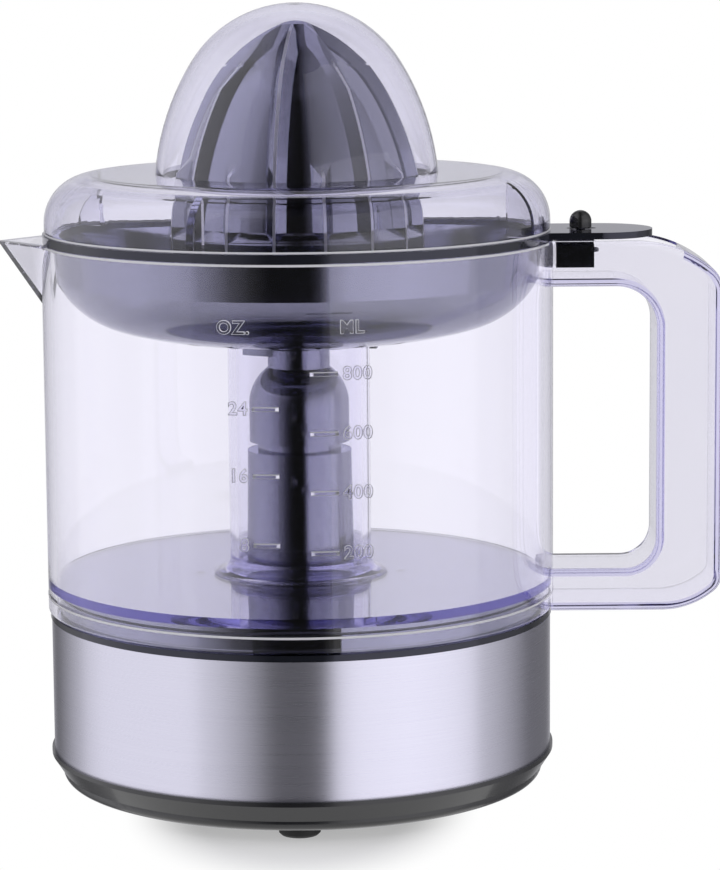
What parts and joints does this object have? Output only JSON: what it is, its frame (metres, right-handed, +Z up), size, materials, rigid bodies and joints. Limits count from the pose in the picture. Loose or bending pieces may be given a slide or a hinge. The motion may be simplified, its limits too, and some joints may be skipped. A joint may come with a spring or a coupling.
{
  "type": "citrus juicer",
  "caption": "Electric citrus press: ribbed reamer and slotted strainer bowl on a clear jug with a handle, under a clear dome lid, on a round steel-banded base.",
  "frame": {"origin": "on the jug's axis, at the level that the feet stand on", "axes": "+Z up along the drive shaft, +X from the axis towards the handle, -X towards the spout, -Y towards the side with the graduations"},
  "size_m": [0.1965, 0.1398, 0.2154],
  "materials": {
    "clear_plastic": "clear, polished, with a faint cool tint",
    "smoke_plastic": "dark grey, polished",
    "base_plastic": "near black, satin to polished",
    "band_steel": "brushed around the axis",
    "rubber": "matt",
    "plain_steel": "plain, turned or cut",
    "motor_steel": "zinc plated",
    "magnet": "sintered, matt",
    "winding": "enamelled copper",
    "bearing_bronze": "sintered bronze",
    "gear_nylon": "natural, satin",
    "switch_plastic": "matt"
  },
  "bodies": {
    "base": {"rubber_feet": "rubber", "bottom_tray": "base_plastic", "steel_band": "band_steel", "top_deck": "smoke_plastic", "tray_screws": "plain_steel", "cord_gland": "rubber", "gear_plate": "plain_steel", "gear_plate_screws": "plain_steel", "lower_bush": "bearing_bronze", "upper_bush": "bearing_bronze", "shaft_seal": "rubber", "motor_can": "motor_steel", "motor_coil": "winding", "idler_axle": "plain_steel", "return_spring": "plain_steel", "switch_body": "switch_plastic"},
    "rotor": {"rotor_magnet": "magnet", "rotor_shaft": "plain_steel", "motor_pinion": "gear_nylon"},
    "idler": {"idler_gear": "gear_nylon"},
    "output": {"output_gear": "gear_nylon"},
    "drive": {"drive_shaft": "plain_steel", "drive_coupler": "smoke_plastic"},
    "cup": {"thrust_cup": "gear_nylon"},
    "plunger": {"switch_plunger": "switch_plastic"},
    "jug": {"jug_vessel": "clear_plastic", "jug_handle": "clear_plastic"},
    "strainer": {"strainer": "smoke_plastic"},
    "bush": {"hub_bush": "gear_nylon"},
    "cone": {"reamer_cone": "smoke_plastic"},
    "latch": {"latch_slider": "smoke_plastic", "latch_knob": "smoke_plastic"},
    "lid": {"dome_lid": "clear_plastic"}
  },
  "joints": [
    {"name": "drive_spin", "type": "hinge", "parent": "base", "child": "output", "pos_m": [0, 0, 0.0442], "axis": [0, 0, 1], "continuous": true},
    {"name": "idler_spin", "type": "hinge", "parent": "base", "child": "idler", "pos_m": [0, 0.0288, 0.0402], "axis": [0, 0, 1], "continuous": true},
    {"name": "rotor_spin", "type": "hinge", "parent": "base", "child": "rotor", "pos_m": [-0.02393, 0.02692, 0.0372], "axis": [0, 0, 1], "continuous": true},
    {"name": "press", "type": "slide", "parent": "output", "child": "drive", "axis": [0, 0, -1], "range_m": [0, 0.002], "stiffness_N_per_m": 2000, "springref_m": -0.004, "deforming": ["return_spring"]},
    {"name": "cup_slide", "type": "slide", "parent": "base", "child": "cup", "axis": [0, 0, -1], "range_m": [0, 0.002]},
    {"name": "plunger_slide", "type": "slide", "parent": "base", "child": "plunger", "axis": [0, 0, -1], "range_m": [0, 0.002]},
    {"name": "jug_lift", "type": "slide", "parent": "base", "child": "jug", "axis": [0, 0, 1], "range_m": [0, 0.115]},
    {"name": "strainer_lift", "type": "slide", "parent": "jug", "child": "strainer", "axis": [0, 0, 1], "range_m": [0, 0.045]},
    {"name": "cone_press", "type": "slide", "parent": "strainer", "child": "bush", "axis": [0, 0, -1], "range_m": [0, 0.002]},
    {"name": "cone_spin", "type": "hinge", "parent": "bush", "child": "cone", "pos_m": [0, 0, 0.147], "axis": [0, 0, 1], "continuous": true},
    {"name": "latch_slide", "type": "slide", "parent": "strainer", "child": "latch", "axis": [1, 0, 0], "range_m": [0, 0.0024]},
    {"name": "lid_lift", "type": "slide", "parent": "strainer", "child": "lid", "axis": [0, 0, 1], "range_m": [0, 0.07]}
  ],
  "couplings": [
    {"joint": "idler_spin", "follows": "drive_spin", "ratio": -5},
    {"joint": "rotor_spin", "follows": "drive_spin", "ratio": 20},
    {"joint": "cone_spin", "follows": "drive_spin", "ratio": 1},
    {"joint": "cup_slide", "follows": "press", "ratio": 1},
    {"joint": "plunger_slide", "follows": "press", "ratio": 1},
    {"joint": "cone_press", "follows": "press", "ratio": 1}
  ]
}
